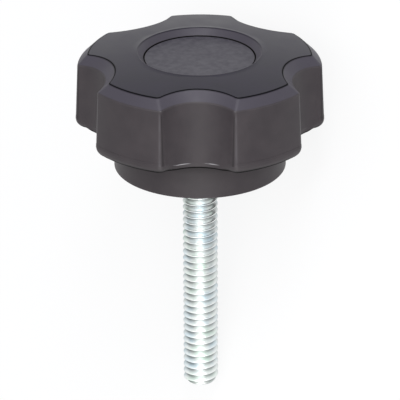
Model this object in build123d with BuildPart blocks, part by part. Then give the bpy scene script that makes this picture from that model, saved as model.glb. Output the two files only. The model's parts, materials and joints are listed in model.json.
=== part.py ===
from build123d import *
import math
import os

# Five-arm knob: a moulded plastic head with a steel threaded stud moulded into its hub.
# Sizes are in millimetres and angles in degrees. Heights are measured along the knob's axis
# from the seat, the flat face of the hub that the stud comes out of.

# Moulded head
head_diameter = 44.8
flute_floor_diameter = 36.9
flute_radius = 8.2
arm_count = 5
draft_angle = 2.4
top_bevel = 1.7
corner_over_bevel = 0.1
crown_radius = 125.0
lower_edge_bevel = 1.0

# Hub and heights of the moulding, with the shallow relief round the stud in the seat
hub_diameter = 30.6
hub_height = 6.9
hub_edge_bevel = 0.3
knob_height = 21.9
relief_clearance = 0.5
relief_depth = 0.4

# Dished recess in the crown
recess_diameter = 22.6
recess_floor_diameter = 19.9
recess_depth = 1.3

# Stud, 1/4 inch with 20 threads to the inch: its thread is drawn at the crests' diameter.
# Past a short neck at the seat it keeps the narrower size of the rod it was rolled from.
stud_diameter = 6.35
stud_length = 43.7
tip_chamfer = 0.8
neck_length = 0.6
shank_diameter = 5.5

# Hexagonal anchor of the stud, inside the moulding
anchor_across_flats = 11.1
anchor_thickness = 4.0
anchor_depth = 9.6
anchor_chamfer = 0.5

head_radius = head_diameter / 2
floor_radius = flute_floor_diameter / 2
hub_radius = hub_diameter / 2
stud_radius = stud_diameter / 2
recess_radius = recess_diameter / 2
flute_pitch_radius = floor_radius + flute_radius
draft_slope = math.tan(math.radians(draft_angle))

# The arms are drawn at their lower edge and drafted up to a level just over the crown. The
# draft makes their corners sharper on the way up, and the bevel still fits inside the corners.
arm_height = knob_height - hub_height + top_bevel
corner_radius = top_bevel + corner_over_bevel + arm_height * draft_slope


def crown_height(radius):
    """Height of the domed crown at a distance from the axis, highest beside the recess."""
    rim_sag = crown_radius - math.sqrt(crown_radius**2 - recess_radius**2)
    sag = crown_radius - math.sqrt(crown_radius**2 - radius**2)
    return knob_height + rim_sag - sag


# The loose knob lies on the corners of two arms, beside a flute, and on the edge of its tip.
# An arm's corner touches the ground just above the bevel of its lower edge. The corner's centre
# is fixed by the circle of the head and the circle of the flute, both of which it runs into.
corner_offset = head_radius - corner_radius
flute_offset = flute_radius + corner_radius
corner_reach = (corner_offset**2 - flute_offset**2 + flute_pitch_radius**2) / (2 * flute_pitch_radius)
bevel_rise = lower_edge_bevel * math.cos(math.radians(draft_angle))
rest_drop = corner_reach + corner_radius - bevel_rise * draft_slope - stud_radius
rest_run = hub_height + bevel_rise + stud_length - tip_chamfer
rest_tilt = math.atan2(rest_drop, rest_run)
seat_height = (stud_length - tip_chamfer) * math.sin(rest_tilt) + stud_radius * math.cos(rest_tilt)

# The knob's box is centred on the origin: it ends at the tip and at the crown's edge.
tip_reach = stud_length * math.cos(rest_tilt) + (stud_radius - tip_chamfer) * math.sin(rest_tilt)
crown_edge_radius = head_radius - (knob_height - hub_height) * draft_slope - top_bevel
crown_edge_drop = crown_edge_radius * corner_reach / corner_offset
crown_reach = crown_height(crown_edge_radius) * math.cos(rest_tilt) + crown_edge_drop * math.sin(rest_tilt)
seat_forward = (tip_reach - crown_reach) / 2

# The seat's plane: its normal is the knob's axis towards the crown, and its X points down
# through the flute that faces the ground.
knob_axis = Vector(math.cos(rest_tilt), 0, math.sin(rest_tilt))
downward = Vector(math.sin(rest_tilt), 0, -math.cos(rest_tilt))
seat = Plane(origin=(seat_forward, 0, seat_height), x_dir=downward, z_dir=knob_axis)
crown_centre = seat.origin + knob_axis * (crown_height(0) - crown_radius)
section = Plane(origin=seat.origin, x_dir=seat.x_dir, z_dir=-seat.y_dir)
axis = Axis(seat.origin, seat.z_dir)


def along_axis(shape):
    """Height of a shape's centre along the knob's axis."""
    return (shape.center() - seat.origin).dot(knob_axis)


# Stud: threaded rod with a neck at the seat and a hexagonal anchor on its hidden end
with BuildPart() as threaded_stud:
    with BuildSketch(seat.offset(-stud_length)):
        Circle(stud_radius)
    extrude(amount=stud_length - neck_length)
    tip_edge = threaded_stud.edges().sort_by(along_axis)[0]
    chamfer(tip_edge, length=tip_chamfer)
    with BuildSketch(seat.offset(-neck_length)):
        Circle(shank_diameter / 2)
    extrude(amount=neck_length + anchor_depth)
    with BuildSketch(seat.offset(anchor_depth)):
        RegularPolygon(radius=anchor_across_flats / 2, side_count=6, major_radius=False)
    extrude(amount=anchor_thickness)
    chamfer(threaded_stud.faces().sort_by(along_axis)[-1].edges(), length=anchor_chamfer)
threaded_stud.part.label = "threaded_stud"

# Head and hub, one moulding
with BuildPart() as knob_body:
    # Five arms between five flutes, with rounded corners and walls that lean in to the crown
    with BuildSketch(seat.offset(hub_height)) as arms:
        Circle(head_radius)
        with PolarLocations(flute_pitch_radius, arm_count):
            Circle(flute_radius, mode=Mode.SUBTRACT)
        fillet(arms.vertices(), radius=corner_radius)
    extrude(amount=arm_height)
    walls = knob_body.faces().filter_by(GeomType.CYLINDER)
    draft(walls, neutral_plane=seat.offset(hub_height), angle=draft_angle)

    # Domed crown, cut by a large ball whose poles and seam lie away from it
    with Locations(Plane(origin=crown_centre, x_dir=-knob_axis, z_dir=seat.y_dir)):
        Sphere(crown_radius, mode=Mode.INTERSECT)

    # Wide bevel round the crown and a small one along the arms' lower edge
    chamfer(knob_body.faces().sort_by(along_axis)[-1].edges(), length=top_bevel)
    chamfer(knob_body.faces().sort_by(along_axis)[0].edges(), length=lower_edge_bevel)

    # Hub below the arms, relieved round the stud so that a plate lies flat on the seat
    with BuildSketch(seat):
        Circle(hub_radius)
    extrude(amount=hub_height + lower_edge_bevel)
    chamfer(knob_body.faces().sort_by(along_axis)[0].edges(), length=hub_edge_bevel)
    with BuildSketch(seat):
        Circle(stud_radius + relief_clearance)
    extrude(amount=relief_depth, mode=Mode.SUBTRACT)

    # Recess with a sloping wall
    recess_level = knob_height - recess_depth
    with BuildSketch(section):
        with BuildLine():
            wall_slope = (recess_diameter - recess_floor_diameter) / 2 / recess_depth
            rim_end = (recess_radius + wall_slope * recess_depth, knob_height + recess_depth)
            Polyline((0, recess_level), (recess_floor_diameter / 2, recess_level), rim_end)
            Polyline(rim_end, (0, rim_end[1]), (0, recess_level))
        make_face()
    revolve(axis=axis, mode=Mode.SUBTRACT)

    # Room that the stud and its anchor fill
    add(threaded_stud.part, mode=Mode.SUBTRACT)
knob_body.part.label = "knob_body"

os.makedirs("parts", exist_ok=True)
export_step(knob_body.part, "parts/knob_body.step")
export_step(threaded_stud.part, "parts/threaded_stud.step")
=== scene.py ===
import json
import logging
import math
from dataclasses import dataclass
from enum import Enum

import bmesh
import bpy
from mathutils import Matrix, Vector


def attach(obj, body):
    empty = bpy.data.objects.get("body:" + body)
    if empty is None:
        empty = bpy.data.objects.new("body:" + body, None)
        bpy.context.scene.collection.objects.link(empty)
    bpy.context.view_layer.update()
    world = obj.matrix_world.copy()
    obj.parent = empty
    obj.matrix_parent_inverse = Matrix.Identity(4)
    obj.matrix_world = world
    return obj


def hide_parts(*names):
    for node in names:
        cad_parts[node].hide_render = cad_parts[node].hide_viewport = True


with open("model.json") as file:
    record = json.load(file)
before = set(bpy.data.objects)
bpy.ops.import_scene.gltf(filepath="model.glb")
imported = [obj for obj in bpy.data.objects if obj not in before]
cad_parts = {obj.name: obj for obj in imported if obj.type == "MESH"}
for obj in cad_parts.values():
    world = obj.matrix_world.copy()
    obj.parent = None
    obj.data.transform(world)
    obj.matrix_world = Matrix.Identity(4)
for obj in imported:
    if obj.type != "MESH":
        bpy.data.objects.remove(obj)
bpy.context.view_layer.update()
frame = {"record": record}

# Five-arm knob: a moulded plastic head with a zinc-plated threaded stud. Sizes are in
# millimetres. Each piece is modelled upright, with the knob's axis along Z, the seat at
# height zero and the flute that will face the ground along X, and is then laid in place.

log = logging.getLogger("five_arm_knob")
MILLIMETRE = 0.001
# Points this close are merged, and points this close to a height lie at it
WELD_REACH = 0.002
LEVEL_REACH = 0.001
WHITE = (1.0, 1.0, 1.0, 1.0)
WHOLE = (0.0, 1.0)
Point = tuple[float, float]
Pair = tuple[float, float]
Marks = dict[str, list[float]]
Colour = tuple[float, float, float]
Socket = bpy.types.NodeSocket


class Winding(Enum):
    """Hand of a thread: the sign of its rise as it turns to the left."""

    RIGHT_HAND = 1
    LEFT_HAND = -1


class Shape(Enum):
    """Outline of a lamp's shining face."""

    SQUARE = "SQUARE"
    DISK = "DISK"


@dataclass(frozen=True)
class Placement:
    """Where the knob lies: its seat, its axis towards the crown and its lowest flute's side."""

    seat: Vector
    axis: Vector
    down: Vector

    @classmethod
    def from_record(cls, record: dict) -> "Placement":
        """Reads the place of the knob from its two mounts.

        Args:
            record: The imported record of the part.

        Returns:
            The placement of the knob in the row frame, in metres.
        """
        mounts = {mount["name"]: mount for mount in record["mounts"]}
        to_tip = Vector(mounts["stud"]["axis"]).normalized()
        on_stud = Vector(mounts["stud"]["pos_m"])
        on_seat = Vector(mounts["seat"]["pos_m"])
        seat = on_stud + to_tip * (on_seat - on_stud).dot(to_tip)
        axis = -to_tip
        return cls(seat, axis, Vector((axis.z, 0.0, -axis.x)))

    def matrix(self) -> Matrix:
        """Gives the transform from the upright knob in millimetres to its place in metres.

        Returns:
            The transform, for a piece that is modelled upright.
        """
        side = self.axis.cross(self.down)
        turn = Matrix((self.down, side, self.axis)).transposed().to_4x4()
        return Matrix.Translation(self.seat) @ turn @ Matrix.Scale(MILLIMETRE, 4)


def deselect_all() -> None:
    """Leaves object mode with nothing selected, so that the next operator acts alone."""
    if bpy.context.object and bpy.context.object.mode != "OBJECT":
        bpy.ops.object.mode_set(mode="OBJECT")
    bpy.ops.object.select_all(action="DESELECT")


def select_alone(piece: bpy.types.Object) -> None:
    """Selects one piece and makes it the active one, in object mode.

    Args:
        piece: The piece.
    """
    deselect_all()
    piece.select_set(True)
    bpy.context.view_layer.objects.active = piece


def smooth(piece: bpy.types.Object, angle: float) -> None:
    """Shades a piece smooth, apart from edges that are sharper than an angle."""
    select_alone(piece)
    bpy.ops.object.shade_smooth_by_angle(angle=angle)


def weld_shell() -> None:
    """Merges the doubles of the piece in edit mode, turns its faces outward and leaves it."""
    bpy.ops.mesh.select_all(action="SELECT")
    bpy.ops.mesh.remove_doubles(threshold=WELD_REACH)
    bpy.ops.mesh.normals_make_consistent(inside=False)
    bpy.ops.object.mode_set(mode="OBJECT")


def lay_in_place(piece: bpy.types.Object, placement: Placement) -> None:
    """Moves an upright piece to where the knob lies and leaves its object at the origin.

    Args:
        piece: The finished piece, modelled in millimetres.
        placement: Where the knob lies.
    """
    select_alone(piece)
    piece.matrix_world = placement.matrix()
    bpy.ops.object.transform_apply(location=True, rotation=True, scale=True)


class RingBuilder:
    """Grows a mesh ring by ring: the open ring is extruded and set at its new place."""

    def __init__(self, name: str, first_ring: list[Vector]) -> None:
        """Adds a filled circle and shapes it into the first ring.

        Args:
            name: Name of the new piece.
            first_ring: Points of the first ring, in order round the axis.
        """
        deselect_all()
        centre = sum(first_ring, Vector()) / len(first_ring)
        size = (first_ring[0] - centre).length
        bpy.ops.mesh.primitive_circle_add(
            vertices=len(first_ring), radius=size, fill_type="TRIFAN", location=(0, 0, 0)
        )
        self.piece = bpy.context.object
        self.piece.name = name
        self.piece.data.name = name
        bpy.ops.object.mode_set(mode="EDIT")
        bpy.ops.mesh.select_mode(type="VERT")
        bpy.ops.mesh.select_all(action="DESELECT")
        self.mesh = bmesh.from_edit_mesh(self.piece.data)
        self.marks: dict[str, dict[int, float]] = {}
        rim = [vert for vert in self.mesh.verts if vert.co.length > size / 2]
        hub = [vert for vert in self.mesh.verts if vert.co.length <= size / 2]
        for vert in hub:
            vert.co = centre
        order = sorted(rim, key=lambda vert: math.atan2(vert.co.y, vert.co.x) % math.tau)
        for vert, place in zip(order, first_ring):
            vert.co = place
        self.ring = [vert.index for vert in order]
        self.select_ring()

    def select_ring(self) -> None:
        """Selects the open ring alone."""
        self.mesh.verts.ensure_lookup_table()
        for vert in self.mesh.verts:
            vert.select = False
        for index in self.ring:
            self.mesh.verts[index].select = True
        self.mesh.select_flush(True)
        bmesh.update_edit_mesh(self.piece.data)

    def extrude_to(self, places: list[Vector], marks: Marks | None = None) -> None:
        """Extrudes the open ring and sets the new one at its places.

        Args:
            places: Points of the new ring, in the order of the last one.
            marks: How strongly each mark shows at each point, from 0 to 1, by its name.
        """
        bpy.ops.mesh.extrude_edges_move(TRANSFORM_OT_translate={"value": (0, 0, 0)})
        self.mesh = bmesh.from_edit_mesh(self.piece.data)
        self.mesh.verts.ensure_lookup_table()
        grown = []
        for index, place in zip(self.ring, places):
            vert = self.mesh.verts[index]
            new = next(e.other_vert(vert) for e in vert.link_edges if e.other_vert(vert).select)
            new.co = place
            grown.append(new)
        self.mesh.verts.index_update()
        self.ring = [vert.index for vert in grown]
        for name, values in (marks or {}).items():
            self.marks.setdefault(name, {}).update(zip(self.ring, values))
        bmesh.update_edit_mesh(self.piece.data)

    def close(self) -> bpy.types.Object:
        """Draws the open ring together at its centre and finishes the shell.

        Returns:
            The closed piece, its faces outward, in object mode.
        """
        bpy.ops.mesh.merge(type="CENTER")
        bpy.ops.mesh.select_all(action="SELECT")
        bpy.ops.mesh.normals_make_consistent(inside=False)
        bpy.ops.mesh.select_all(action="DESELECT")
        bpy.ops.object.mode_set(mode="OBJECT")
        # The last ring is now one point, which keeps the lowest of its numbers
        middle = min(self.ring)
        for name, values in self.marks.items():
            attribute = self.piece.data.attributes.new(name, "FLOAT", "POINT")
            for index, value in values.items():
                attribute.data[min(index, middle)].value = value
        return self.piece


def soft_corner(start: Vector, corner: Vector, end: Vector, steps: int) -> list[Vector]:
    """Rounds the way from one point to another past a corner.

    Args:
        start: Where the round begins.
        corner: The sharp corner that it takes off.
        end: Where the round ends.
        steps: Number of steps along it.

    Returns:
        The points along the round, both ends among them.
    """
    way = []
    for step in range(steps + 1):
        t = step / steps
        way.append(start * (1 - t) ** 2 + corner * (2 * t * (1 - t)) + end * t**2)
    return way


def spun(point: Point, turn: float) -> Point:
    """Turns a point about the axis by an angle."""
    x, y = point
    return (x * math.cos(turn) - y * math.sin(turn), x * math.sin(turn) + y * math.cos(turn))


def level_ring(points: list[Point], level: float) -> list[Vector]:
    """Lifts the points of an outline to a height."""
    return [Vector((x, y, level)) for x, y in points]


def moved(start: Vector, towards: Vector, distance: float) -> Vector:
    """Gives the point at a distance from one place towards another."""
    return start + (towards - start).normalized() * distance


@dataclass
class NodeBench:
    """Lays out a material's nodes: each method adds one node and gives its result."""

    material: bpy.types.Material

    def __post_init__(self) -> None:
        """Opens the material's node tree."""
        self.material.use_nodes = True
        self.nodes = self.material.node_tree.nodes
        self.links = self.material.node_tree.links
        self.shader = self.nodes["Principled BSDF"]
        self.place = self.nodes.new("ShaderNodeTexCoord").outputs["Object"]

    def mark(self, name: str) -> Socket:
        """Reads one of the piece's marks.

        Args:
            name: Name of the mark.

        Returns:
            How strongly it shows, from 0 to 1.
        """
        node = self.nodes.new("ShaderNodeAttribute")
        node.attribute_name = name
        return node.outputs["Fac"]

    def noise(self, size: float, detail: float) -> Socket:
        """Adds clouds of noise on the piece.

        Args:
            size: Size of the largest clouds, in millimetres.
            detail: How many finer layers they carry.

        Returns:
            The noise, from 0 to 1.
        """
        node = self.nodes.new("ShaderNodeTexNoise")
        node.inputs["Scale"].default_value = 1 / (size * MILLIMETRE)
        node.inputs["Detail"].default_value = detail
        self.links.new(self.place, node.inputs["Vector"])
        return node.outputs["Fac"]

    def spread(self, value: Socket, start: Pair, end: Pair) -> Socket:
        """Maps one range of a value onto another.

        Args:
            value: The value to map.
            start: Lowest and highest value that counts.
            end: What those two become.

        Returns:
            The mapped value.
        """
        node = self.nodes.new("ShaderNodeMapRange")
        node.inputs["From Min"].default_value, node.inputs["From Max"].default_value = start
        node.inputs["To Min"].default_value, node.inputs["To Max"].default_value = end
        self.links.new(value, node.inputs["Value"])
        return node.outputs["Result"]

    def product(self, one: Socket, other: Socket) -> Socket:
        """Multiplies two values.

        Args:
            one: The first value.
            other: The second value.

        Returns:
            Their product.
        """
        node = self.nodes.new("ShaderNodeMath")
        node.operation = "MULTIPLY"
        self.links.new(one, node.inputs[0])
        self.links.new(other, node.inputs[1])
        return node.outputs["Value"]

    def blend(self, share: Socket, under: Socket | Colour, over: Socket | Colour) -> Socket:
        """Lays one colour over another.

        Args:
            share: How much of the upper colour shows.
            under: The lower colour.
            over: The upper colour.

        Returns:
            The mixed colour.
        """
        node = self.nodes.new("ShaderNodeMix")
        node.data_type = "RGBA"
        self.links.new(share, node.inputs["Factor"])
        for name, colour in (("A", under), ("B", over)):
            if isinstance(colour, tuple):
                node.inputs[name].default_value = (*colour, 1.0)
            else:
                self.links.new(colour, node.inputs[name])
        return node.outputs["Result"]

    def ramp(self, value: Socket, places: list[float], colours: list[Colour]) -> Socket:
        """Colours a value through three stops.

        Args:
            value: The value to colour.
            places: Where the stops lie, in order.
            colours: The colour at each stop.

        Returns:
            The colour.
        """
        node = self.nodes.new("ShaderNodeValToRGB")
        stops = node.color_ramp.elements
        stops[0].position, stops[1].position = places[0], places[-1]
        stops.new(places[1])
        for stop, colour in zip(stops, colours):
            stop.color = (*colour, 1.0)
        self.links.new(value, node.inputs["Fac"])
        return node.outputs["Color"]

    def relief(self, height: Socket, strength: float, depth: float) -> None:
        """Raises the surface by a height.

        Args:
            height: The height, from 0 to 1.
            strength: How strongly it shows.
            depth: Its full height, in millimetres.
        """
        node = self.nodes.new("ShaderNodeBump")
        node.inputs["Strength"].default_value = strength
        node.inputs["Distance"].default_value = depth * MILLIMETRE
        self.links.new(height, node.inputs["Height"])
        self.links.new(node.outputs["Normal"], self.shader.inputs["Normal"])

    def feed(self, value: Socket, name: str) -> None:
        """Leads a value to one of the shader's sockets."""
        self.links.new(value, self.shader.inputs[name])


@dataclass(frozen=True)
class PlasticFinish:
    """Satin black moulded plastic with a fine grain, wear and painted highlights along its edges,
    painted shade on its crown and in creases, and painted light on its bevel.
    """

    wall_dark: Colour = (0.0215, 0.0163, 0.0195)
    wall_light: Colour = (0.0330, 0.0262, 0.0295)
    # The crown's colours are darker than the walls', as painted shade on the top
    crown_dark: Colour = (0.0085, 0.0068, 0.0150)
    crown_light: Colour = (0.0145, 0.0115, 0.0225)
    # The bevel's lighter colour is painted light
    bevel_lit: Colour = (0.040, 0.0350, 0.0480)
    floor_dark: Colour = (0.0300, 0.0270, 0.0385)
    floor_light: Colour = (0.0520, 0.0480, 0.0600)
    # Lighter colour for wear and painted highlights along edges and corners
    worn_and_lit: Colour = (0.130, 0.122, 0.135)
    flash_and_highlight: Colour = (0.300, 0.290, 0.300)
    # Near-black painted shade along creases, edges and on the hub under the arms
    painted_shade: Colour = (0.003, 0.003, 0.003)
    roughness: float = 0.5
    specular: float = 0.38
    crown_roughness: float = 0.34
    crown_specular: float = 0.245

    # Sizes of the patterns in millimetres, the part of each noise that counts, and its effect
    patch_size: float = 4.0
    patch_detail: float = 6.0
    patch_range: Pair = (0.3, 0.7)
    patch_roughness: Pair = (0.92, 1.12)
    mottle_size: float = 1.1
    mottle_detail: float = 6.0
    mottle_range: Pair = (0.36, 0.64)
    breakup_size: float = 2.4
    breakup_detail: float = 4.0
    breakup_range: Pair = (0.34, 0.66)
    breakup_share: Pair = (0.35, 1.0)
    flash_highlight_range: Pair = (0.40, 0.52)
    grain_size: float = 0.22
    grain_detail: float = 2.0
    grain_depth: float = 0.018
    grain_strength: float = 0.35

    def material(self) -> bpy.types.Material:
        """Makes the plastic's material.

        Returns:
            The material, ready for a slot.
        """
        bench = NodeBench(bpy.data.materials.new("moulded_plastic_finish"))
        patches = bench.noise(self.patch_size, self.patch_detail)
        patches = bench.spread(patches, self.patch_range, WHOLE)
        wall = bench.blend(patches, self.wall_dark, self.wall_light)
        crown = bench.blend(patches, self.crown_dark, self.crown_light)
        mottle = bench.noise(self.mottle_size, self.mottle_detail)
        mottle = bench.spread(mottle, self.mottle_range, WHOLE)
        floor = bench.blend(mottle, self.floor_dark, self.floor_light)
        # Painted shade: the crown is darker than the walls; it is also glossier
        on_crown = bench.mark("crown_shade_and_gloss")
        colour = bench.blend(on_crown, wall, crown)
        # Painted light on the bevel and the recess's sloping wall
        colour = bench.blend(bench.mark("bevel_painted_light"), colour, self.bevel_lit)
        colour = bench.blend(bench.mark("floor_tone"), colour, floor)
        # Wear and painted highlight along edges, broken up by noise
        breakup_noise = bench.noise(self.breakup_size, self.breakup_detail)
        wear_and_highlight = bench.spread(breakup_noise, self.breakup_range, self.breakup_share)
        wear_and_highlight = bench.product(bench.mark("edge_wear_and_highlight"), wear_and_highlight)
        colour = bench.blend(wear_and_highlight, colour, self.worn_and_lit)
        # Painted highlight on the parting line's flash
        broken = bench.spread(breakup_noise, self.flash_highlight_range, WHOLE)
        broken = bench.product(bench.mark("flash_and_highlight"), broken)
        colour = bench.blend(broken, colour, self.flash_and_highlight)
        # Painted shade: near-black and without gloss in creases, along edges and under the arms
        painted_shade = bench.mark("painted_shade_mark")
        colour = bench.blend(painted_shade, colour, self.painted_shade)
        bench.feed(colour, "Base Color")
        gloss = bench.spread(on_crown, WHOLE, (self.specular, self.crown_specular))
        gloss = bench.product(gloss, bench.spread(painted_shade, WHOLE, (1.0, 0.0)))
        bench.feed(gloss, "Specular IOR Level")
        satin = bench.spread(on_crown, WHOLE, (self.roughness, self.crown_roughness))
        satin = bench.product(bench.spread(patches, WHOLE, self.patch_roughness), satin)
        bench.feed(satin, "Roughness")
        grain = bench.noise(self.grain_size, self.grain_detail)
        bench.relief(grain, self.grain_strength, self.grain_depth)
        return bench.material


@dataclass(frozen=True)
class ZincFinish:
    """Bright zinc plate, faintly green and blue, with painted shade in the thread's valleys."""

    bright: Colour = (0.90, 0.93, 0.92)
    green: Colour = (0.79, 0.90, 0.84)
    blue: Colour = (0.76, 0.87, 0.93)
    valley_shade: Colour = (0.07, 0.08, 0.08)
    edge: Colour = (0.36, 0.40, 0.40)
    roughness: Pair = (0.22, 0.44)

    # Sizes of the patterns in millimetres, and where the tints lie in the clouds
    cloud_size: float = 3.5
    cloud_detail: float = 4.0
    green_stop: float = 0.30
    bright_stop: float = 0.5
    blue_stop: float = 0.72
    spot_size: float = 0.5
    spot_detail: float = 3.0
    spot_depth: float = 0.01
    spot_strength: float = 0.3

    def material(self) -> bpy.types.Material:
        """Makes the plated steel's material.

        Returns:
            The material, ready for a slot.
        """
        bench = NodeBench(bpy.data.materials.new("zinc_plated_steel_finish"))
        bench.shader.inputs["Metallic"].default_value = 1.0
        bench.shader.inputs["Specular Tint"].default_value = (*self.edge, 1.0)
        clouds = bench.noise(self.cloud_size, self.cloud_detail)
        stops = [self.green_stop, self.bright_stop, self.blue_stop]
        tint = bench.ramp(clouds, stops, [self.green, self.bright, self.blue])
        # Painted shade darkens the thread's valleys
        bench.feed(bench.blend(bench.mark("thread_valley_shade"), tint, self.valley_shade), "Base Color")
        spots = bench.noise(self.spot_size, self.spot_detail)
        bench.feed(bench.spread(spots, WHOLE, self.roughness), "Roughness")
        bench.relief(spots, self.spot_strength, self.spot_depth)
        return bench.material


@dataclass
class MouldedHead:
    """The knob's plastic moulding: five fluted arms on a round hub, with a dished crown."""

    finish: PlasticFinish

    # Outline of the arms at the underside, and the lean of their walls
    head_radius: float = 22.355
    floor_radius: float = 18.38
    flute_radius: float = 7.8
    arm_count: int = 5
    draft: float = math.radians(2.4)
    underside: float = 6.88
    flute_steps: int = 16
    corner_steps: int = 10
    lobe_steps: int = 16

    # Round under the arms, the smaller lip in the flutes, and the painted shade along both. The
    # painted shade lies by the surface's turn in degrees, and the lip adds to its turn and its
    # reach.
    round_width: float = 1.95
    round_height: float = 1.85
    round_turn: float = math.radians(88)
    round_steps: int = 14
    lip_width: float = 0.45
    lip_height: float = 0.5
    lip_rise: float = 0.26
    lip_share: float = 0.6
    shade_turn: float = 38.0
    shade_reach: float = 19.0
    lip_shade_turn: float = 4.0
    lip_shade_reach: float = 16.0

    # Radii of the arms' corners. A line of painted highlight or painted shade along them has a
    # place, as a share of the corner towards the arm, and a strength.
    low_corner: float = 1.4
    high_corner: float = 0.8
    crown_corner: float = 0.8
    line_width: float = 0.13
    wall_highlight: Pair = (0.2, 0.26)
    wall_shade: Pair = (-0.16, 0.42)
    bevel_corner_highlight: Pair = (0.0, 0.8)

    # Parting line: the height and fullness of each ring, how strong its flash and the flash's
    # painted highlight are in each flute, and the middle and reach of the flash on the flute's
    # left and right side
    bead_level: float = 8.12
    bead_climb: float = 0.66
    bead_proud: float = 0.04
    bead_rings: tuple[Pair, ...] = (
        (-0.03, 0.0), (0.0, 0.6), (0.04, 1.0), (0.10, 1.0), (0.14, 0.6), (0.17, 0.0), (0.5, 0.0)
    )
    flash_and_highlight_flutes: tuple[float, ...] = (0.35, 0.15, 0.1, 1.0, 0.1)
    flash_and_highlight_left: Pair = (0.36, 0.24)
    flash_and_highlight_right: Pair = (0.46, 0.28)

    # Bevel and domed crown, with the painted highlight and wear and the painted shade across the
    # bevel's softened edges
    wall_rows: int = 9
    last_wall: float = 2.0
    edge_level: float = 20.05
    edge_drop: float = 0.8
    edge_curve: float = 0.0029
    bevel_inset: float = 1.79
    edge_softness: float = 0.13
    edge_clearance: float = 0.325
    low_edge_highlight: float = 0.13
    low_edge_wear_and_highlight: tuple[float, ...] = (0.1, 0.6, 1.0, 0.6, 0.1)
    high_edge_shade: tuple[float, ...] = (0.3, 0.8, 1.0, 1.0, 0.8)
    crown_curve: float = 0.0039
    crown_rows: int = 8

    # Hub: its seat face, the painted shade at heights up its wall, darkest under the arms, and the
    # foot of the arms
    hub_radius: float = 15.45
    hub_round: float = 0.2
    hub_steps: int = 5
    seat_rings: tuple[float, ...] = (5.0, 9.0, 14.95)
    hub_shades: tuple[Pair, ...] = ((0.5, 0.0), (2.5, 0.0), (4.6, 0.1), (6.38, 0.45))
    foot_round: float = 0.25
    foot_steps: int = 4

    # Recess: the reach of its softened rim and foot, and the rings of its floor
    rim_radius: float = 11.12
    rim_level: float = 21.86
    rim_softness: float = 0.12
    rim_reach: float = 0.3
    crown_end: float = 0.15
    recess_radius: float = 9.95
    recess_level: float = 20.6
    recess_softness: float = 0.1
    recess_reach: float = 0.22
    recess_steps: int = 3
    floor_reaches: tuple[float, ...] = (0.2, 0.42)
    floor_shares: tuple[float, ...] = (0.8, 0.6, 0.4, 0.2, 0.05)

    # Relief round the stud and the room for its anchor
    relief_radius: float = 3.66
    relief_depth: float = 0.4
    relief_softness: float = 0.05
    socket_radius: float = 2.76
    anchor_across_flats: float = 11.1
    anchor_chamfer: float = 0.5
    anchor_levels: Pair = (9.6, 13.6)

    smooth_angle: float = math.radians(38)

    def outline(self, inset: float, corner: float) -> list[Point]:
        """Draws the arms' outline, with the same number of points along each feature.

        Args:
            inset: How far it is drawn in from the outline at the underside.
            corner: Radius of the arms' corners.

        Returns:
            The outline's points, counted to the left from the middle of the lowest flute.
        """
        lobe = self.head_radius - inset
        flute = self.flute_radius + inset
        pitch = self.floor_radius + self.flute_radius
        lobe_reach, flute_reach = lobe - corner, flute + corner
        along = (lobe_reach**2 - flute_reach**2 + pitch**2) / (2 * pitch)
        across = math.sqrt(lobe_reach**2 - along**2)
        flute_end = math.atan2(across, along - pitch)
        lobe_start = math.atan2(across, along)
        half: list[Point] = []
        for step in range(self.flute_steps + 1):
            turn = math.pi + (flute_end - math.pi) * step / self.flute_steps
            half.append((pitch + flute * math.cos(turn), flute * math.sin(turn)))
        for step in range(1, self.corner_steps + 1):
            turn = flute_end - math.pi
            turn += (lobe_start - turn) * step / self.corner_steps
            half.append((along + corner * math.cos(turn), across + corner * math.sin(turn)))
        lobe_turn = math.tau / self.arm_count - 2 * lobe_start
        for step in range(1, self.lobe_steps):
            turn = lobe_start + lobe_turn * step / self.lobe_steps
            half.append((lobe * math.cos(turn), lobe * math.sin(turn)))
        side = self.flute_steps + self.corner_steps
        back = [(x, -y) for x, y in half[side:0:-1]]
        points: list[Point] = []
        for arm in range(self.arm_count):
            turn = arm * math.tau / self.arm_count
            following = turn + math.tau / self.arm_count
            points += [spun(point, turn) for point in half]
            points += [spun(point, following) for point in back]
        return points

    def turns(self) -> list[float]:
        """Gives the direction of each point of the arms' outline, from the axis."""
        return [math.atan2(y, x) for x, y in self.outline(0.0, self.low_corner)]

    def circle(self, radius: float) -> list[Point]:
        """Draws a circle whose points lie beside those of the arms' outline."""
        return [(radius * math.cos(turn), radius * math.sin(turn)) for turn in self.turns()]

    def hexagon(self, across_flats: float) -> list[Point]:
        """Draws the anchor's hexagon, with its points beside those of the arms' outline.

        Args:
            across_flats: Its width across flats.

        Returns:
            The hexagon's points, in the order of the outline's.
        """
        points = []
        for turn in self.turns():
            off_flat = turn % (math.pi / 3) - math.pi / 6
            radius = across_flats / 2 / math.cos(off_flat)
            points.append((radius * math.cos(turn), radius * math.sin(turn)))
        return points

    def all_round(self, half: list[float]) -> list[float]:
        """Repeats and mirrors marks round the outline.

        Args:
            half: The marks from the middle of a flute over a corner and the arm's end.

        Returns:
            The mark at each point of the arms' outline.
        """
        side = self.flute_steps + self.corner_steps
        return (half + half[side:0:-1]) * self.arm_count

    def round_shares(self) -> list[float]:
        """Gives how much of the lower edge's full round each point of the outline has.

        Returns:
            The share at each point, from 0 in the flutes to 1 on the arms.
        """
        half = []
        for step in range(self.flute_steps + 1):
            along = max(0.0, step / self.flute_steps - self.lip_share) / (1 - self.lip_share)
            half.append(along * along * (3 - 2 * along))
        return self.all_round(half + [1.0] * (self.corner_steps + self.lobe_steps - 1))

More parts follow.
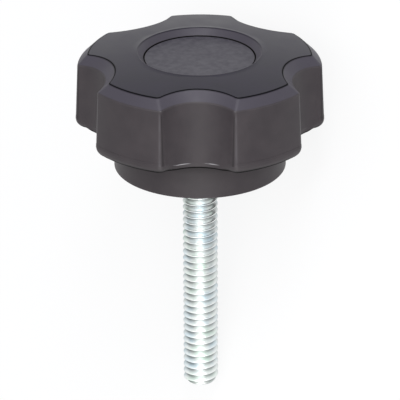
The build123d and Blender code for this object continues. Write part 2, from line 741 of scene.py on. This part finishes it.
    def corner_marks(self, side_step: float, strength: float) -> list[float]:
        """Marks a narrow line along each corner of the arms.

        Args:
            side_step: Share of the corner's width by which the line lies off its middle,
                towards the arm.
            strength: How strongly the line shows.

        Returns:
            The mark at each point of the arms' outline.
        """
        half = [0.0] * (self.flute_steps + 1)
        for step in range(1, self.corner_steps + 1):
            off_line = step / self.corner_steps - 0.5 - side_step
            half.append(strength * math.exp(-((off_line / self.line_width) ** 2)))
        return self.all_round(half + [0.0] * (self.lobe_steps - 1))

    def flash_and_highlight_side(self, middle: float, reach: float) -> list[float]:
        """Gives how clearly the flash and its painted highlight show along one side of a flute.

        Args:
            middle: Where it is clearest, as a share of the way out of the flute.
            reach: How far it runs to both sides of that, as such a share.

        Returns:
            The mark at each point from the middle of the flute to its end.
        """
        shares = [step / self.flute_steps for step in range(self.flute_steps + 1)]
        return [max(0.0, 1.0 - ((share - middle) / reach) ** 2) for share in shares]

    def flash_and_highlight_marks(self) -> list[float]:
        """Gives how clearly the parting line and its painted highlight show round the arms.

        Returns:
            The mark at each point of the arms' outline.
        """
        half = self.flash_and_highlight_side(*self.flash_and_highlight_left)
        half += [0.0] * (self.corner_steps + self.lobe_steps - 1)
        back = [0.0] * self.corner_steps + self.flash_and_highlight_side(*self.flash_and_highlight_right)[:0:-1]
        marks = []
        following = self.flash_and_highlight_flutes[1:] + self.flash_and_highlight_flutes[:1]
        for strength, next_strength in zip(self.flash_and_highlight_flutes, following):
            marks += [strength * mark for mark in half] + [next_strength * mark for mark in back]
        return marks

    def wall_inset(self, level: float) -> float:
        """Gives how far the draft has drawn the arms' wall in at a height."""
        return (level - self.underside) * math.tan(self.draft)

    def crown(self, radius: float) -> float:
        """Gives the height of the domed crown at a distance from the axis."""
        return self.rim_level - self.crown_curve * (radius**2 - self.rim_radius**2)

    def lifted(self, outline: list[Point]) -> list[Vector]:
        """Lifts the points of an outline onto the domed crown."""
        return [Vector((x, y, self.crown(math.hypot(x, y)))) for x, y in outline]

    def on_crown(self, place: Vector) -> Vector:
        """Gives the point of the domed crown above or below a place."""
        return self.lifted([(place.x, place.y)])[0]

    def bevel_edge(self) -> list[Vector]:
        """Gives the lower edge of the bevel, before it is softened.

        Returns:
            The edge's points, in the order of the outline's.
        """
        places = []
        inset = self.wall_inset(self.edge_level - self.edge_drop)
        for x, y in self.outline(inset, self.high_corner):
            drop = self.edge_curve * (x * x + y * y - self.rim_radius**2)
            places.append(Vector((x, y, self.edge_level - drop)))
        return places

    def crown_edge(self) -> list[Vector]:
        """Gives the upper edge of the bevel, before it is softened."""
        inset = self.wall_inset(self.edge_level - self.edge_drop) + self.bevel_inset
        return self.lifted(self.outline(inset, self.crown_corner))

    def build(self) -> bpy.types.Object:
        """Models the moulding from the room for the stud's anchor out to the recess.

        Returns:
            The closed moulding, upright and in millimetres.
        """
        low, high = self.anchor_levels
        flats, chamfer = self.anchor_across_flats, self.anchor_chamfer
        first_ring = level_ring(self.hexagon(flats - 2 * chamfer), high)
        grower = RingBuilder("knob_moulding", first_ring)
        for level in (high - chamfer, low):
            grower.extrude_to(level_ring(self.hexagon(flats), level))
        self.grow_relief(grower)
        self.grow_hub(grower)
        self.grow_lower_edge(grower)
        self.grow_walls(grower)
        self.grow_bevel(grower)
        self.grow_recess(grower)
        piece = grower.close()
        smooth(piece, self.smooth_angle)
        return piece

    def grow_round(
        self,
        grower: RingBuilder,
        places: list[Point] | list[Vector],
        mark: str = "",
        strength: float = 1.0,
    ) -> None:
        """Extrudes the moulding through a row of circles.

        Args:
            grower: The moulding so far.
            places: Radius and height of each circle.
            mark: Name of the mark that they carry, or nothing.
            strength: How strongly it shows.
        """
        for radius, level in places:
            ring = level_ring(self.circle(radius), level)
            grower.extrude_to(ring, {mark: [strength] * len(ring)} if mark else None)

    def grow_relief(self, grower: RingBuilder) -> None:
        """Grows the stud's socket and the shallow relief round it in the seat face.

        Args:
            grower: The moulding so far.
        """
        radius, depth, soft = self.relief_radius, self.relief_depth, self.relief_softness
        places = [
            (self.socket_radius, self.anchor_levels[0]),
            (self.socket_radius, depth),
            (radius - soft, depth),
            (radius, depth - soft),
            (radius, soft),
            (radius + soft, 0.0),
        ]
        self.grow_round(grower, places)

    def grow_hub(self, grower: RingBuilder) -> None:
        """Grows the seat face, the hub's rounded edge, its wall and the arms' underside.

        Args:
            grower: The moulding so far.
        """
        radius, under, fillet = self.hub_radius, self.underside, self.foot_round
        self.grow_round(grower, [(ring, 0.0) for ring in self.seat_rings])
        start, end = Vector((radius - self.hub_round, 0.0)), Vector((radius, self.hub_round))
        self.grow_round(grower, soft_corner(start, Vector((radius, 0.0)), end, self.hub_steps))
        # Painted shade up the hub's wall, darkest under the arms
        for level, shade in self.hub_shades:
            self.grow_round(grower, [(radius, level)], "painted_shade_mark", shade)
        start, end = Vector((radius, under - fillet)), Vector((radius + fillet, under))
        self.grow_round(grower, soft_corner(start, Vector((radius, under)), end, self.foot_steps))
        self.grow_round(grower, [(radius + 2 * fillet, under)])

    def grow_lower_edge(self, grower: RingBuilder) -> None:
        """Grows the arms' rounded lower edge, which is a small lip in the flutes.

        Args:
            grower: The moulding so far.
        """
        rounded = self.round_shares()
        rises = [self.lip_rise * (1 - share) for share in rounded]
        start = self.outline(self.round_width + self.foot_round, self.low_corner)
        ring = [Vector((x, y, self.underside + rise)) for (x, y), rise in zip(start, rises)]
        grower.extrude_to(ring)
        foot = self.wall_inset(self.underside + self.round_height)
        for step in range(self.round_steps):
            turn = self.round_turn * step / (self.round_steps - 1)
            inward, upward = 1 - math.sin(turn), 1 - math.cos(turn)
            wide = self.outline(foot + (self.round_width - foot) * inward, self.low_corner)
            tight = self.outline(foot + (self.lip_width - foot) * inward, self.low_corner)
            places, shades = [], []
            for share, rise, far, near in zip(rounded, rises, wide, tight):
                lip = 1 - share
                height = (self.round_height * share + self.lip_height * lip) * upward
                x, y = Vector(near).lerp(Vector(far), share)
                places.append(Vector((x, y, self.underside + rise + height)))
                # Painted shade: a dark line along the lower round where it turns under the arms
                off_shade = math.degrees(turn) - self.shade_turn - self.lip_shade_turn * lip
                off_shade /= self.shade_reach + self.lip_shade_reach * lip
                shades.append(math.exp(-(off_shade**4)))
            grower.extrude_to(places, {"painted_shade_mark": shades})

    def grow_walls(self, grower: RingBuilder) -> None:
        """Grows the arms' walls over the parting line and up to the bevel.

        Args:
            grower: The moulding so far.
        """
        # Painted highlight on the arm's side of each corner and painted shade on the flute's side
        wear_and_highlight, shade_lines = self.corner_marks(*self.wall_highlight), self.corner_marks(*self.wall_shade)
        lines = {"edge_wear_and_highlight": wear_and_highlight, "painted_shade_mark": shade_lines}
        flash_and_highlight, rounded = self.flash_and_highlight_marks(), self.round_shares()
        for height, fullness in self.bead_rings:
            level = self.bead_level + height
            raised = [fullness * share for share in flash_and_highlight]
            wall = self.outline(self.wall_inset(level), self.low_corner)
            bulge = self.outline(self.wall_inset(level) - self.bead_proud, self.low_corner)
            places = []
            for near, far, share, climb in zip(wall, bulge, raised, rounded):
                x, y = Vector(near).lerp(Vector(far), share)
                places.append(Vector((x, y, level + self.bead_climb * climb)))
            # The flash bulges out and carries a painted highlight
            grower.extrude_to(places, lines | {"flash_and_highlight": raised})
        bottom = level + self.bead_climb
        wall = level_ring(self.outline(self.wall_inset(bottom), self.low_corner), bottom)
        edge = self.bevel_edge()
        for row in range(self.wall_rows):
            share = row / self.wall_rows
            grower.extrude_to([low.lerp(high, share) for low, high in zip(wall, edge)], lines)

    def grow_bevel(self, grower: RingBuilder) -> None:
        """Grows the bevel, its two softened edges and the domed crown up to the recess.

        Args:
            grower: The moulding so far.
        """
        low, high = self.bevel_edge(), self.crown_edge()
        inset = self.wall_inset(self.edge_level - self.edge_drop - self.last_wall)
        foot = self.outline(inset, self.high_corner)
        below = [Vector((x, y, edge.z - self.last_wall)) for (x, y), edge in zip(foot, low)]
        inner = self.lifted(self.circle(self.rim_radius + self.crown_end))
        soft, clear = self.edge_softness, self.edge_clearance
        full = [1.0] * len(low)

        grower.extrude_to([moved(edge, back, clear) for edge, back in zip(low, below)])
        # Wear and painted highlight along the bevel's lower edge, strongest at the corners
        wear_and_highlight = [self.low_edge_highlight + mark for mark in self.corner_marks(*self.bevel_corner_highlight)]
        ways = []
        for back, edge, on in zip(below, low, high):
            start, end = moved(edge, back, soft), moved(edge, on, soft)
            ways.append(soft_corner(start, edge, end, len(self.low_edge_wear_and_highlight) - 1))
        for step, wear in enumerate(self.low_edge_wear_and_highlight):
            marks = {"edge_wear_and_highlight": [wear * mark for mark in wear_and_highlight]}
            grower.extrude_to([way[step] for way in ways], marks)

        for ring in (
            [moved(edge, on, clear) for edge, on in zip(low, high)],
            [edge.lerp(on, 0.5) for edge, on in zip(low, high)],
            [moved(on, edge, clear) for edge, on in zip(low, high)],
        ):
            # Painted light: the bevel takes its lighter colour
            grower.extrude_to(ring, {"bevel_painted_light": full})

        ways = []
        for back, edge, on in zip(low, high, inner):
            start, end = moved(edge, back, soft), self.on_crown(moved(edge, on, soft))
            ways.append(soft_corner(start, edge, end, len(self.high_edge_shade) - 1))
        # Painted shade along the crown's edge of the bevel
        for step, shade in enumerate(self.high_edge_shade):
            marks = {"painted_shade_mark": [shade] * len(ways), "crown_shade_and_gloss": full}
            grower.extrude_to([way[step] for way in ways], marks)
        rings = [[moved(edge, on, clear) for edge, on in zip(high, inner)]]
        for row in range(1, self.crown_rows):
            share = row / self.crown_rows
            rings.append([edge.lerp(on, share) for edge, on in zip(high, inner)])
        for ring in rings + [inner]:
            # Painted shade: the crown takes its darker colour
            grower.extrude_to([self.on_crown(place) for place in ring], {"crown_shade_and_gloss": full})

    def grow_recess(self, grower: RingBuilder) -> None:
        """Grows the recess's softened rim, its sloping wall and its bare floor.

        Args:
            grower: The moulding so far.
        """
        rim = Vector((self.rim_radius, self.rim_level))
        foot = Vector((self.recess_radius, self.recess_level))
        wall = (foot - rim).normalized()
        outer, soft = Vector((self.rim_softness, 0.0)), self.rim_softness
        edge = soft_corner(rim + outer, rim, rim + wall * soft, self.recess_steps)
        # The recess's rim takes the crown's painted shade
        self.grow_round(grower, edge, "crown_shade_and_gloss")
        slope = [rim + wall * self.rim_reach, foot - wall * self.recess_reach]
        # Painted light on the recess's sloping wall
        self.grow_round(grower, slope, "bevel_painted_light")
        inner, soft = Vector((self.recess_softness, 0.0)), self.recess_softness
        edge = soft_corner(foot - wall * soft, foot, foot - inner, self.recess_steps)
        # Painted shade in the corner at the recess's foot
        self.grow_round(grower, edge, "painted_shade_mark")
        radii = [self.recess_radius - reach for reach in self.floor_reaches]
        radii += [self.recess_radius * share for share in self.floor_shares]
        floor = [(radius, self.recess_level) for radius in radii]
        self.grow_round(grower, floor, "floor_tone")

    def dress(self, piece: bpy.types.Object) -> None:
        """Gives the moulding its finish."""
        piece.data.materials.append(self.finish.material())


@dataclass
class ThreadedStud:
    """The stud: a rolled thread with a chamfered tip, a short neck and a hidden anchor."""

    finish: ZincFinish
    hand: Winding = Winding.RIGHT_HAND
    major_radius: float = 3.16
    thread_depth: float = 0.74
    pitch: float = 1.27
    length: float = 43.68
    first_crest: float = -8.4475
    crest_side: float = math.pi
    turn_steps: int = 80
    spare_turns: int = 3

    # Section of the thread: half widths of crest and root as shares of the pitch, the rounds
    # as heights over the root or below the crest and shares of those widths, and the flank's
    # points between them
    crest_share: float = 1 / 16
    root_share: float = 0.10
    root_rounds: tuple[Pair, ...] = ((0.0, 0.0), (0.01, 0.5), (0.05, 1.0))
    flank_shares: Pair = (0.36, 0.72)
    shoulder: Pair = (0.07, 0.035)
    crest_rounds: tuple[Pair, ...] = ((0.015, 0.75), (0.0, 0.3))

    # Ends: the tip's chamfer, the run-out at the neck and the hidden anchor
    tip_radius: float = 2.4
    tip_height: float = 0.8
    tip_share: float = 0.6
    neck: float = 0.6
    run_out_slope: float = 0.8
    shank_radius: float = 2.75
    anchor_across_flats: float = 11.04
    anchor_flats: int = 6
    anchor_chamfer: float = 0.5
    anchor_levels: Pair = (9.62, 13.58)

    # Painted shade in the valleys, which is full on two opposite sides and least between them
    shade_side: float = math.radians(127.0)
    shade_least: float = 0.36
    valley_power: int = 3
    plain_end: float = 0.02
    smooth_angle: float = math.radians(40)

    def profile(self) -> list[Vector]:
        """Draws one turn's section, from the middle of a valley to the next.

        Returns:
            Points in the plane of X and Z, one pitch high.
        """
        crest, half = self.major_radius, self.pitch / 2
        root = crest - self.thread_depth
        crest_half, root_half = self.pitch * self.crest_share, self.pitch * self.root_share
        top = half - crest_half
        flank = top - root_half
        rise = [Vector((root + lift, root_half * share)) for lift, share in self.root_rounds]
        for share in self.flank_shares:
            rise.append(Vector((root + self.thread_depth * share, top - flank * (1 - share))))
        rise.append(Vector((crest - self.shoulder[0], top - self.shoulder[1])))
        for drop, share in self.crest_rounds:
            rise.append(Vector((crest - drop, half - crest_half * share)))
        fall = [Vector((point.x, self.pitch - point.y)) for point in reversed(rise)]
        return [Vector((point.x, 0.0, point.y)) for point in rise + fall]

    def build(self) -> bpy.types.Object:
        """Models the stud from a turned section, cut to length and drawn to its anchor.

        Returns:
            The closed stud, upright and in millimetres.
        """
        piece = self.turn_thread()
        self.cut_ends(piece)
        self.shape_ends(piece)
        self.grow_anchor(piece)
        self.paint_valley_shade(piece)
        smooth(piece, self.smooth_angle)
        return piece

    def turn_thread(self) -> bpy.types.Object:
        """Extrudes the section point by point and winds it along the stud.

        Returns:
            The open winding, longer than the stud at both ends.
        """
        section = self.profile()
        deselect_all()
        bpy.ops.mesh.primitive_plane_add(size=1.0, location=(0, 0, 0))
        piece = bpy.context.object
        piece.name = "stud_thread"
        piece.data.name = "stud_thread"
        bpy.ops.object.mode_set(mode="EDIT")
        bpy.ops.mesh.select_mode(type="VERT")
        bpy.ops.mesh.select_all(action="SELECT")
        bpy.ops.mesh.merge(type="CENTER")
        bpy.ops.transform.translate(value=section[0])
        for last, point in zip(section, section[1:]):
            step = point - last
            bpy.ops.mesh.extrude_vertices_move(TRANSFORM_OT_translate={"value": step})
        bpy.ops.object.mode_set(mode="OBJECT")
        turns = math.ceil(self.length / self.pitch) + self.spare_turns
        turns_below = math.floor(turns - 1 + self.first_crest / self.pitch)
        start = self.first_crest - self.pitch / 2 - turns_below * self.pitch
        to_side = Matrix.Rotation(self.crest_side, 3, "Z")
        for vert in piece.data.vertices:
            vert.co = to_side @ Vector((vert.co.x, vert.co.y, vert.co.z + start))
        screw = piece.modifiers.new("winding", "SCREW")
        screw.axis = "Z"
        screw.angle = math.tau * self.hand.value
        screw.screw_offset = self.pitch
        screw.iterations = turns
        screw.steps = self.turn_steps
        screw.render_steps = self.turn_steps
        screw.use_merge_vertices = False
        select_alone(piece)
        bpy.ops.object.modifier_apply(modifier=screw.name)
        bpy.ops.object.mode_set(mode="EDIT")
        weld_shell()
        return piece

    def cut_ends(self, piece: bpy.types.Object) -> None:
        """Cuts the winding off square at the tip and below the neck.

        Args:
            piece: The open winding.
        """
        for level, outward in ((-self.length, -1.0), (-self.neck, 1.0)):
            select_alone(piece)
            bpy.ops.object.mode_set(mode="EDIT")
            bpy.ops.mesh.select_all(action="SELECT")
            bpy.ops.mesh.bisect(
                plane_co=(0, 0, level), plane_no=(0, 0, outward), use_fill=False, clear_outer=True
            )
            bpy.ops.object.mode_set(mode="OBJECT")

    def shape_ends(self, piece: bpy.types.Object) -> None:
        """Chamfers the tip and lets the thread run out at the neck.

        Args:
            piece: The winding, cut to length.
        """
        slope = (self.major_radius - self.tip_radius) / self.tip_height
        for vert in piece.data.vertices:
            radius = math.hypot(vert.co.x, vert.co.y)
            from_neck = max(0.0, -self.neck - vert.co.z)
            limit = min(
                self.tip_radius + (vert.co.z + self.length) * slope,
                self.shank_radius + from_neck * self.run_out_slope,
            )
            if radius > limit:
                vert.co.x *= limit / radius
                vert.co.y *= limit / radius

    def grow_anchor(self, piece: bpy.types.Object) -> None:
        """Closes the tip, and grows the neck, the hidden shank and the hexagonal anchor.

        Args:
            piece: The stud with its ends shaped.
        """
        low, high = self.anchor_levels
        half, flats, chamfer = self.anchor_across_flats / 2, self.anchor_flats, self.anchor_chamfer
        bpy.context.view_layer.objects.active = piece
        self.grow_rings(piece, -self.length, [(self.tip_radius * self.tip_share, -self.length, 0)])
        rings = [
            (self.shank_radius, -self.neck, 0),
            (self.shank_radius, low, 0),
            (half, low, flats),
            (half, high - chamfer, flats),
            (half - chamfer, high, flats),
        ]
        self.grow_rings(piece, -self.neck, rings)

    def grow_rings(
        self, piece: bpy.types.Object, level: float, rings: list[tuple[float, float, int]]
    ) -> None:
        """Extrudes the open end at a height through rings and closes it.

        Args:
            piece: The stud.
            level: Height of the open end.
            rings: Radius, height and number of flats of each ring, no flats being round.
        """
        bpy.ops.object.mode_set(mode="EDIT")
        bpy.ops.mesh.select_mode(type="VERT")
        bpy.ops.mesh.select_all(action="DESELECT")
        mesh = bmesh.from_edit_mesh(piece.data)
        for edge in mesh.edges:
            at_level = all(abs(vert.co.z - level) < LEVEL_REACH for vert in edge.verts)
            if edge.is_boundary and at_level:
                edge.select = True
        mesh.select_flush(True)
        bmesh.update_edit_mesh(piece.data)
        for radius, height, flats in rings:
            bpy.ops.mesh.extrude_edges_move(TRANSFORM_OT_translate={"value": (0, 0, 0)})
            mesh = bmesh.from_edit_mesh(piece.data)
            for vert in mesh.verts:
                if vert.select:
                    turn = math.atan2(vert.co.y, vert.co.x)
                    reach = radius
                    if flats:
                        off_flat = turn % (math.tau / flats) - math.pi / flats
                        reach = radius / math.cos(off_flat)
                    vert.co = Vector((reach * math.cos(turn), reach * math.sin(turn), height))
            bmesh.update_edit_mesh(piece.data)
        bpy.ops.mesh.merge(type="CENTER")
        weld_shell()

    def paint_valley_shade(self, piece: bpy.types.Object) -> None:
        """Paints shade on each point by how deep it lies in the thread, fully on two opposite
        sides.

        Args:
            piece: The closed stud.
        """
        attribute = piece.data.attributes.new("thread_valley_shade", "FLOAT", "POINT")
        lowest, highest = -self.length + self.plain_end, -self.neck - self.plain_end
        for vert in piece.data.vertices:
            if lowest < vert.co.z < highest:
                depth = (self.major_radius - math.hypot(vert.co.x, vert.co.y)) / self.thread_depth
                off_shade_side = math.atan2(vert.co.y, vert.co.x) - self.shade_side
                shade_strength = self.shade_least + (1 - self.shade_least) * math.cos(off_shade_side) ** 2
                depth = max(0.0, min(1.0, depth))
                attribute.data[vert.index].value = shade_strength * depth**self.valley_power

    def dress(self, piece: bpy.types.Object) -> None:
        """Gives the stud its finish."""
        piece.data.materials.append(self.finish.material())


def show_white(
    tree: bpy.types.NodeTree, lit: Socket, white: bpy.types.Node, share: float
) -> bpy.types.Node:
    """Shows white to the rays that show a surface, and not to those that only light it.

    The first are the rays from the camera, from reflections and from clear materials.

    Args:
        tree: Node tree of the floor's material or of the world.
        lit: What the surface or the world gives by itself.
        white: The node that gives white.
        share: How much of it is seen.

    Returns:
        The node that mixes the two.
    """
    path = tree.nodes.new("ShaderNodeLightPath")
    seen = path.outputs["Is Camera Ray"]
    for name in ("Is Glossy Ray", "Is Transmission Ray"):
        either = tree.nodes.new("ShaderNodeMath")
        either.operation = "MAXIMUM"
        tree.links.new(seen, either.inputs[0])
        tree.links.new(path.outputs[name], either.inputs[1])
        seen = either.outputs["Value"]
    shown = tree.nodes.new("ShaderNodeMath")
    shown.operation = "MULTIPLY"
    shown.inputs[1].default_value = share
    tree.links.new(seen, shown.inputs[0])
    white.inputs["Color"].default_value = WHITE
    white.inputs["Strength"].default_value = 1.0
    mix = tree.nodes.new("ShaderNodeMixShader")
    tree.links.new(shown.outputs["Value"], mix.inputs["Fac"])
    tree.links.new(lit, mix.inputs[1])
    tree.links.new(white.outputs[0], mix.inputs[2])
    return mix


@dataclass(frozen=True)
class SoftLamp:
    """A large soft lamp, placed as seen from the knob's crown and front."""

    name: str
    front: float
    right: float
    above: float
    distance: float
    size: float
    power: float
    colour: Colour
    shape: Shape = Shape.DISK


@dataclass
class Studio:
    """Pale floor, soft light and the camera at the photograph's viewing angle."""

    placement: Placement
    lamps: tuple[SoftLamp, ...]
    lamp_aim: float = 12.0

    # Camera: its place round the knob in millimetres and radians, its lens, and how near and
    # far it sees in metres
    elevation: float = math.radians(24.704)
    distance: float = 730.0
    lens: float = 363.0
    sensor: float = 36.0
    roll: float = math.radians(-0.2432)
    target_right: float = -0.0366
    target_up: float = -7.3407
    half_arm_turn: float = math.pi / 5
    front_turn: float = math.radians(1.0)
    clip_start: float = 0.01
    clip_end: float = 20.0

    # Floor, its size in metres, and the world
    floor_size: float = 6.0
    floor_colour: Colour = (0.86, 0.86, 0.86)
    floor_roughness: float = 0.9
    floor_white: float = 0.85
    world_colour: Colour = (0.88, 0.92, 1.0)
    world_strength: float = 0.5

    def photo_axes(self) -> tuple[Vector, Vector, Vector]:
        """Gives the knob's right, front and up directions as the photograph shows them.

        Returns:
            Unit vectors in the row frame.
        """
        axis, turn = self.placement.axis, self.half_arm_turn
        sideways = Vector((0.0, -1.0, 0.0))
        front = -self.placement.down * math.cos(turn) + sideways * math.sin(turn)
        front = Matrix.Rotation(self.front_turn, 3, axis) @ front
        return (-front).cross(axis), front, axis

    def set_camera(self) -> bpy.types.Object:
        """Adds the camera.

        Returns:
            The scene's camera.
        """
        right, front, axis = self.photo_axes()
        back = front * math.cos(self.elevation) + axis * math.sin(self.elevation)
        up = axis * math.cos(self.elevation) - front * math.sin(self.elevation)
        aim = right * self.target_right + axis * self.target_up
        place = self.placement.seat + aim * MILLIMETRE + back * self.distance * MILLIMETRE
        turn = Matrix((right, up, back)).transposed() @ Matrix.Rotation(self.roll, 3, "Z")
        deselect_all()
        bpy.ops.object.camera_add()
        camera = bpy.context.object
        camera.name = "photo_camera"
        camera.matrix_world = Matrix.Translation(place) @ turn.to_4x4()
        camera.data.sensor_width = self.sensor
        camera.data.lens = self.lens
        camera.data.clip_start = self.clip_start
        camera.data.clip_end = self.clip_end
        bpy.context.scene.camera = camera
        return camera

    def lay_floor(self) -> bpy.types.Object:
        """Adds the pale floor, which the camera sees as white outside the knob's shadow.

        Returns:
            The floor.
        """
        deselect_all()
        bpy.ops.mesh.primitive_plane_add(size=self.floor_size, location=(0, 0, 0))
        floor = bpy.context.object
        floor.name = "floor"
        material = bpy.data.materials.new("pale_floor")
        material.use_nodes = True
        tree = material.node_tree
        shader = tree.nodes["Principled BSDF"]
        shader.inputs["Base Color"].default_value = (*self.floor_colour, 1.0)
        shader.inputs["Roughness"].default_value = self.floor_roughness
        shader.inputs["Specular IOR Level"].default_value = 0.0
        white = tree.nodes.new("ShaderNodeEmission")
        mix = show_white(tree, shader.outputs["BSDF"], white, self.floor_white)
        tree.links.new(mix.outputs["Shader"], tree.nodes["Material Output"].inputs["Surface"])
        floor.data.materials.append(material)
        return floor

    def light(self) -> None:
        """Sets the world and hangs the lamps."""
        world = bpy.data.worlds.new("studio")
        world.use_nodes = True
        tree = world.node_tree
        sky = tree.nodes["Background"]
        sky.inputs["Color"].default_value = (*self.world_colour, 1.0)
        sky.inputs["Strength"].default_value = self.world_strength
        white = tree.nodes.new("ShaderNodeBackground")
        mix = show_white(tree, sky.outputs["Background"], white, 1.0)
        tree.links.new(mix.outputs["Shader"], tree.nodes["World Output"].inputs["Surface"])
        bpy.context.scene.world = world
        right, front, axis = self.photo_axes()
        middle = self.placement.seat + axis * self.lamp_aim * MILLIMETRE
        for lamp in self.lamps:
            towards = (right * lamp.right + front * lamp.front + axis * lamp.above).normalized()
            deselect_all()
            bpy.ops.object.light_add(type="AREA")
            light = bpy.context.object
            light.name = lamp.name
            light.data.shape = lamp.shape.value
            light.data.size = lamp.size
            light.data.energy = lamp.power
            light.data.color = lamp.colour
            light.matrix_world = (
                Matrix.Translation(middle + towards * lamp.distance)
                @ towards.to_track_quat("Z", "Y").to_matrix().to_4x4()
            )


def main() -> None:
    """Builds the knob and its studio, piece by piece."""
    logging.basicConfig(level=logging.INFO, format="%(message)s")
    placement = Placement.from_record(frame["record"])

    head = MouldedHead(PlasticFinish())
    moulding = head.build()
    head.dress(moulding)
    lay_in_place(moulding, placement)
    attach(moulding, "root")
    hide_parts("knob_body")
    log.info("moulding: %d faces", len(moulding.data.polygons))

    stud = ThreadedStud(ZincFinish())
    thread = stud.build()
    stud.dress(thread)
    lay_in_place(thread, placement)
    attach(thread, "root")
    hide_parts("threaded_stud")
    log.info("stud: %d faces", len(thread.data.polygons))

    lamps = (
        SoftLamp("front_lamp", 1.0, -0.2, 0.45, 0.6, 1.0, 3.2, (1.0, 0.99, 0.98)),
        SoftLamp("high_lamp", 0.42, 0.0, 0.91, 0.6, 0.2, 1.25, (0.95, 0.95, 1.0)),
        SoftLamp("low_lamp", 0.8, 0.0, -0.8, 0.6, 0.4, 1.5, (1.0, 0.99, 0.97)),
    )
    studio = Studio(placement, lamps)
    studio.set_camera()
    studio.lay_floor()
    studio.light()
    bpy.context.scene.view_settings.view_transform = "Standard"
    log.info("studio: %d lamps", len(lamps))


if __name__ == "__main__":
    main()
